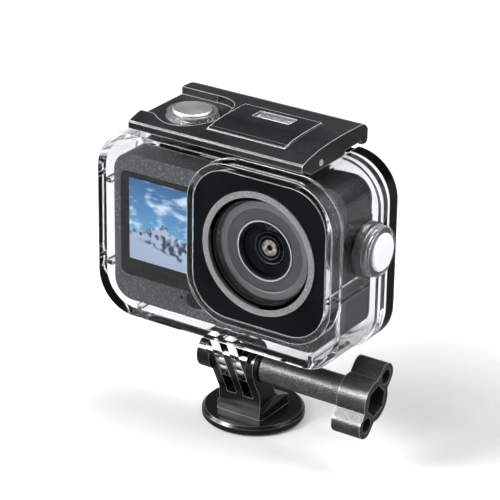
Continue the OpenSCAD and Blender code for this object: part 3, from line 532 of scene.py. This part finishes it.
sky = mix(tree, step(tall, 0.75, 0.35), low_sky, high_sky)
clouds = step(picture_noise(3.0, 6.0, (1.0, 1.0, 2.6)), 0.56, 0.07)
sky = mix(tree, clouds, sky, cloud)
uneven = combine("MULTIPLY", picture_noise(3.4, 5.0, (1.0, 1.0, 0.2)), -0.55)
above_ridge = step(combine("ADD", tall, uneven), 0.12, 0.01)
rocks = step(picture_noise(11.0, 6.0, (1.0, 1.0, 0.8)), 0.5, 0.06)
land = mix(tree, rocks, dark_rock, pale_rock)
slant = combine("MULTIPLY", across, 0.25)
above_snow = step(combine("ADD", tall, slant), 0.30, 0.02)
land = mix(tree, above_snow, snow, land)
view_color = mix(tree, above_ridge, land, sky)
tree.links.new(view_color, shader.inputs["Base Color"])
tree.links.new(view_color, shader.inputs["Emission Color"])
shader.inputs["Emission Strength"].default_value = 0.45
print("nodes in the picture:", len(tree.nodes))

# %% [markdown]
# ## The inner pieces
# The board, battery, sensor, buttons and screen glass are hardly seen through the case. The
# moulded finish is enough for them, each with its own colour and grain.

# %% Materials of the inner pieces
screen_black = plastic("screen glass", (0.006, 0.006, 0.007), 0.08, 900.0, 0.02)
set_on(screen_black, "Specular IOR Level", 0.2)
board_green = plastic("circuit board", (0.02, 0.12, 0.05), 0.4, 1200.0, 0.5, 0.3)
battery_wrap = plastic("battery wrap", (0.05, 0.055, 0.06), 0.35, 700.0, 0.2)
sensor_mat = plastic("image sensor", (0.05, 0.16, 0.18), 0.12, 1500.0, 0.05)
button_dark = plastic("record button", (0.014, 0.012, 0.012), 0.4, 1200.0, 0.2)
print("inner materials:", names((screen_black, board_green, battery_wrap, sensor_mat,
    button_dark)))

# %% [markdown]
# ## Give every piece its material
# The record names a material slot for each CAD piece. One table turns slots into the materials
# made above, so no piece is left plain. Two pieces differ from the rest of their slot: the door's
# seal is pale silicone, and the ring round the port is a little milky.

# %% Assign the materials
by_slot = {
    "black_plastic": black, "knob_plastic": knob_black, "sleeve_black": sleeve_black,
    "cover_black": cover_black, "flap_black": flap_black, "clear_case": clear_case,
    "clear_door": clear_door, "clear_ring": clear_ring, "window_glass": window_glass,
    "panel_black": panel_black, "rubber_black": rubber, "steel": steel, "cap_metal": cap_metal,
    "side_metal": side_metal, "brass": brass, "dark_metal": barrel_black,
    "camera_shell": camera_shell, "camera_rear_shell": camera_rear, "lens_grey": lens_grey,
    "trim_silver": trim_silver, "barrel_black": barrel_black, "lens_glass": lens_glass,
    "sensor": sensor_mat, "screen_black": screen_black, "display": picture,
    "board_green": board_green, "battery_wrap": battery_wrap, "button_red": button_dark,
}
subparts = frame["record"]["subparts"]
for part in subparts:
    obj = nodes[part["node"]]
    obj.data.materials.clear()
    obj.data.materials.append(by_slot[part["material_slot"]])
nodes["door_seal"].data.materials[0] = silicone
nodes["port_ring"].data.materials[0] = port_clear
print("materials on", len(subparts), "pieces")

# %% [markdown]
# ## Soft edges
# Real moulded edges are never razor sharp. A Bevel modifier rounds every edge that is sharper
# than a set angle, without touching the CAD mesh itself. The widths are in metres: a big moulded
# shell is rounder than a thin ring.

# %% Round the edges
rounding = {
    "front_shell": 0.0006, "rear_door": 0.0006, "top_cover": 0.0007, "release_flap": 0.0005,
    "mount_base": 0.0003, "clamp_knob": 0.0006, "clamp_sleeve": 0.0003, "clamp_washer": 0.0005,
    "shutter_collar": 0.0003, "side_collar": 0.0002, "port_ring": 0.0003, "port_mask": 0.0001,
    "camera_front": 0.0005, "camera_back": 0.0005, "lens_ring": 0.0003, "lens_trim": 0.0001,
    "front_bezel": 0.0001, "rear_cover": 0.0001, "flap_window": 0.0002, "lock_nut": 0.0002,
    "side_cap": 0.0002, "shutter_cap": 0.0002, "record_button": 0.0003, "mode_button": 0.0003,
    "battery": 0.0006, "tripod_insert": 0.0002, "door_hinge_pin": 0.0002, "clamp_rod": 0.0003,
    "cover_pins": 0.0002, "port_window": 0.0001,
}
sharp_angle = math.radians(40)
for name, width in rounding.items():
    bevel = nodes[name].modifiers.new("soft edges", "BEVEL")
    bevel.width = width
    bevel.segments = 3
    bevel.limit_method = "ANGLE"
    bevel.angle_limit = sharp_angle
    bevel.use_clamp_overlap = True
print("rounded", len(rounding), "pieces")

# %% [markdown]
# ## Turned lens pieces
# A lens is made of rings. Each one is a profile spun about the lens axis, as on a lathe: we give
# pairs of radius and depth, and the helper joins them into a closed ring.

# %% A lathe for pieces on the lens axis
lens_middle = middle("lens_ring")
lens_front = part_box("lens_ring")[0].y

def lathe(name, profile, mats, bands=None, sides=96):
    """profile holds (radius, depth behind the lens ring's face) in millimetres.
    bands says which of mats covers the strip that starts at each corner of the profile."""
    bm = bmesh.new()
    rings = []
    for radius, depth in profile:
        ring = []
        for k in range(sides):
            a = 2 * math.pi * k / sides
            ring.append(bm.verts.new((
                lens_middle.x + radius / per_metre * math.cos(a),
                lens_front + depth / per_metre,
                lens_middle.z + radius / per_metre * math.sin(a))))
        rings.append(ring)
    for i, ring in enumerate(rings):
        after = rings[(i + 1) % len(rings)]
        for k in range(sides):
            n = (k + 1) % sides
            face = bm.faces.new((ring[k], ring[n], after[n], after[k]))
            face.material_index = bands[i] if bands else 0
    bmesh.ops.recalc_face_normals(bm, faces=bm.faces)
    mesh = bpy.data.meshes.new(name)
    bm.to_mesh(mesh)
    bm.free()
    for mat in mats:
        mesh.materials.append(mat)
    obj = bpy.data.objects.new(name, mesh)
    bpy.context.scene.collection.objects.link(obj)
    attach(obj, "dive_case")
    return obj

print("lens face lies at y =", round(lens_front * per_metre, 2), "mm")

# %% [markdown]
# ## The two-tone lens ring
# The ring round the lens steps down towards the glass, and its inner half is darker. It takes the
# place of the plain CAD ring.

# %% Turn the lens ring
band_light = turned("lens ring outer band", (0.17, 0.172, 0.176), 0.5,
    lens_middle, "Y", 1300.0, 0.1)
band_dark = turned("lens ring inner band", (0.105, 0.108, 0.112), 0.5,
    lens_middle, "Y", 1300.0, 0.1)
ring_profile = [(8.95, 0.35), (9.15, 0.15), (12.1, 0.15), (12.25, 0.0), (14.3, 0.0),
    (14.58, 0.3), (14.58, 1.58), (8.95, 1.58)]
lens_face = lathe("lens_face", ring_profile, [band_light, band_dark], [1, 1, 0, 0, 0, 0, 0, 1])
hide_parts("lens_ring")
print("lens ring:", len(lens_face.data.polygons), "faces")

# %% [markdown]
# ## The iris and the stops
# Behind the front glass lie the coated iris, which looks like worn gold, and two thin grey stops
# around it. Little light reaches them, so the iris is given a very faint painted glow.

# %% Turn the iris and the stops
gold, tree, shader = material("iris coating", (0.80, 0.66, 0.46), 0.3, 0.7)
shade = noise(tree, 900.0)
tone = ramp(tree, shade, "Fac", [(0.35, (0.16, 0.12, 0.08)), (0.65, (0.62, 0.54, 0.42))])
tree.links.new(tone, shader.inputs["Base Color"])
# painted glow: the iris is no lamp, yet its colour is fed to emission
tree.links.new(tone, shader.inputs["Emission Color"])
shader.inputs["Emission Strength"].default_value = 0.15
iris_profile = [(0.85, 2.55), (1.0, 2.45), (1.75, 2.35), (2.25, 2.5), (2.25, 2.8), (0.85, 2.8)]
iris = lathe("iris_ring", iris_profile, [gold], None, 48)
for k, (radius, width) in enumerate(((3.1, 0.12), (4.4, 0.14))):
    stop_profile = [(radius, 2.55), (radius + width, 2.45), (radius + width + 0.1, 2.6),
        (radius, 2.8)]
    stop_ring = lathe("lens_stop_%d" % k, stop_profile, [lens_grey], None, 64)

# %% [markdown]
# ## Return springs
# Each push button stands on a small coil spring. A coil is a circle of wire swept along a helix:
# we walk along the helix, and at each step place a ring of points round the wire's middle line.
# The spring rests on the case.

# %% Wind the springs
X, Z = 0, 2  # the axis that a spring stands along

def spring(name, cad_name, along, turns=3, wire=0.0003, steps=32, sides=10):
    """wire is the wire's radius; the coil fills the box of the CAD piece it replaces."""
    low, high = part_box(cad_name)
    middle_line = (low + high) / 2
    axis = Vector((0, 0, 0))
    axis[along] = 1.0
    side_a = Vector((0, 1, 0)) if along == X else Vector((1, 0, 0))
    side_b = axis.cross(side_a)
    across = Z if along == X else X
    mean_radius = (high[across] - low[across]) / 2 - wire
    length = high[along] - low[along]
    start = middle_line - axis * (length / 2)
    bm = bmesh.new()
    rings = []
    count = turns * steps
    for i in range(count + 1):
        a = 2 * math.pi * i / steps
        out = side_a * math.cos(a) + side_b * math.sin(a)
        centre = start + axis * (wire + (length - 2 * wire) * i / count) + out * mean_radius
        rings.append([bm.verts.new(centre + out * wire * math.cos(2 * math.pi * k / sides)
            + axis * wire * math.sin(2 * math.pi * k / sides)) for k in range(sides)])
    for near, far in zip(rings, rings[1:]):
        for k in range(sides):
            n = (k + 1) % sides
            bm.faces.new((near[k], near[n], far[n], far[k]))
    bm.faces.new(rings[0])
    bm.faces.new(rings[-1])
    bmesh.ops.recalc_face_normals(bm, faces=bm.faces)
    for face in bm.faces:
        face.smooth = len(face.verts) == 4  # the wire is round, its two cut ends are flat
    mesh = bpy.data.meshes.new(name)
    bm.to_mesh(mesh)
    bm.free()
    mesh.materials.append(steel)
    obj = bpy.data.objects.new(name, mesh)
    bpy.context.scene.collection.objects.link(obj)
    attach(obj, "dive_case")
    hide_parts(cad_name)
    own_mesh(obj)
    print(name, "is", round(length * per_metre, 2), "mm long at rest")

spring("shutter_coil", "shutter_spring", Z)
spring("side_coil", "side_spring", X, turns=2)
